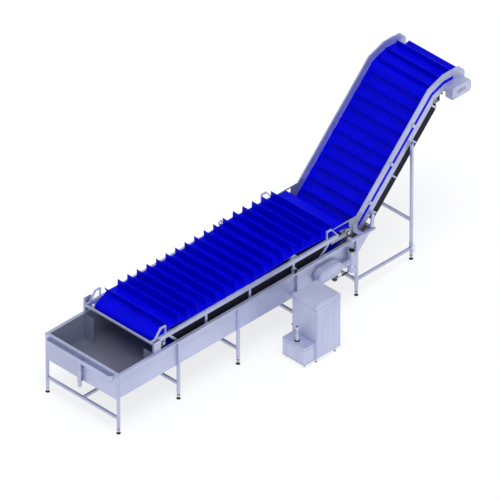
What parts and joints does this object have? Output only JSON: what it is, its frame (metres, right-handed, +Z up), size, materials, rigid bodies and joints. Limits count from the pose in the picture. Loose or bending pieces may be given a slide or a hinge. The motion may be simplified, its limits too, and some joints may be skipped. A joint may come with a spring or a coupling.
{
  "type": "wash tank with immersion conveyor and flighted elevator",
  "caption": "Water tank on tube legs with a flighted immersion belt and a Z-shaped flighted elevator, with a pump cabinet at its side.",
  "frame": {"origin": "on the floor, under the middle of the machine's bounding box", "axes": "+Y along the machine from the open infeed of the tank to the elevator's discharge, +X towards the pump cabinet, +Z up"},
  "size_m": [1.785, 5.696, 2.26],
  "materials": {
    "stainless_sheet": "satin stainless sheet and tube",
    "cabinet_sheet": "fine-ground stainless sheet",
    "turned_steel": "turned stainless",
    "black_rubber": "matt black",
    "blue_belt": "moulded blue belt modules",
    "blue_flight": "moulded blue flights",
    "white_plastic": "natural low-friction plastic",
    "charcoal_plastic": "dark tray lining",
    "bearing_housing": "moulded bearing housing",
    "motor_paint": "grey machine paint",
    "valve_bronze": "dark cast valve",
    "probe_body": "light grey plastic with black seal"
  },
  "bodies": {
    "frame": {"tank_floor": "stainless_sheet", "tank_side_walls": "stainless_sheet", "tank_front_wall": "stainless_sheet", "tank_baffles": "stainless_sheet", "tank_rims": "stainless_sheet", "overflow_gutter": "stainless_sheet", "gutter_downpipe": "stainless_sheet", "leg_tubes": "stainless_sheet", "leg_cross_tubes": "stainless_sheet", "elevator_legs": "stainless_sheet", "elevator_leg_braces": "stainless_sheet", "foot_plugs": "stainless_sheet", "foot_spindles": "turned_steel", "foot_pads": "black_rubber", "immersion_rails": "stainless_sheet", "immersion_lower_frame": "stainless_sheet", "cross_bars": "stainless_sheet", "belt_shoes": "charcoal_plastic", "immersion_bearings": "bearing_housing", "rim_posts": "stainless_sheet", "frame_bolts": "turned_steel", "lifting_hoops": "stainless_sheet", "immersion_belt": "blue_belt", "immersion_flights": "blue_flight", "elevator_upper_rails": "stainless_sheet", "elevator_lower_rails": "stainless_sheet", "elevator_lower_plates": "stainless_sheet", "elevator_end_plates": "stainless_sheet", "rail_blocks": "stainless_sheet", "elevator_wear_strips": "blue_belt", "return_tray": "charcoal_plastic", "tray_straps": "stainless_sheet", "gearmotor": "motor_paint", "motor_cover": "stainless_sheet", "elevator_supports": "stainless_sheet", "elevator_belt": "blue_belt", "elevator_flights": "blue_flight", "elevator_bearings": "bearing_housing", "suction_duct": "stainless_sheet", "pump_column": "stainless_sheet", "drain_valve": "valve_bronze", "cabinet_body": "cabinet_sheet", "cabinet_lid": "cabinet_sheet", "cabinet_feet": "turned_steel", "pump_unit": "motor_paint", "transfer_pipe": "stainless_sheet", "dosing_box": "cabinet_sheet", "level_probe": "probe_body"},
    "immersion_drive": {"immersion_drive_shaft": "turned_steel", "immersion_drive_sprockets": "white_plastic"},
    "immersion_idler": {"immersion_idler_shaft": "turned_steel", "immersion_idler_sprockets": "white_plastic"},
    "immersion_roller": {"support_roller": "turned_steel"},
    "elevator_drive": {"elevator_drive_shaft": "turned_steel", "elevator_drive_sprockets": "white_plastic"},
    "elevator_tail": {"elevator_tail_shaft": "turned_steel", "elevator_tail_rollers": "white_plastic"},
    "hold_down": {"hold_down_discs": "white_plastic"},
    "return_bend": {"return_bend_discs": "white_plastic"},
    "drain_lever": {"valve_lever": "valve_bronze"}
  },
  "joints": [
    {"name": "immersion_drive_spin", "type": "hinge", "parent": "frame", "child": "immersion_drive", "pos_m": [-0.3005, 0.923, 0.895], "axis": [1, 0, 0], "continuous": true},
    {"name": "immersion_idler_spin", "type": "hinge", "parent": "frame", "child": "immersion_idler", "pos_m": [-0.3005, -2.022, 0.85], "axis": [1, 0, 0], "continuous": true},
    {"name": "support_roller_spin", "type": "hinge", "parent": "frame", "child": "immersion_roller", "pos_m": [-0.3005, 0.073, 0.931], "axis": [1, 0, 0], "continuous": true},
    {"name": "elevator_drive_spin", "type": "hinge", "parent": "frame", "child": "elevator_drive", "pos_m": [-0.3005, 2.698, 2.078], "axis": [1, 0, 0], "continuous": true},
    {"name": "elevator_tail_spin", "type": "hinge", "parent": "frame", "child": "elevator_tail", "pos_m": [-0.3005, 0.603, 0.595], "axis": [1, 0, 0], "continuous": true},
    {"name": "hold_down_spin", "type": "hinge", "parent": "frame", "child": "hold_down", "pos_m": [-0.3005, 0.87614, 0.72], "axis": [1, 0, 0], "continuous": true},
    {"name": "return_bend_spin", "type": "hinge", "parent": "frame", "child": "return_bend", "pos_m": [-0.3005, 2.37804, 1.95857], "axis": [1, 0, 0], "continuous": true},
    {"name": "drain_lever_turn", "type": "hinge", "parent": "frame", "child": "drain_lever", "pos_m": [0.2625, 0.721, 0.39], "axis": [1, 0, 0], "range_deg": [-90, 0]}
  ],
  "couplings": [
    {"joint": "immersion_idler_spin", "follows": "immersion_drive_spin", "ratio": 1.037},
    {"joint": "support_roller_spin", "follows": "immersion_drive_spin", "ratio": 0.84849},
    {"joint": "elevator_tail_spin", "follows": "elevator_drive_spin", "ratio": 2.0256},
    {"joint": "hold_down_spin", "follows": "elevator_drive_spin", "ratio": -0.91861},
    {"joint": "return_bend_spin", "follows": "elevator_drive_spin", "ratio": -1.197}
  ]
}
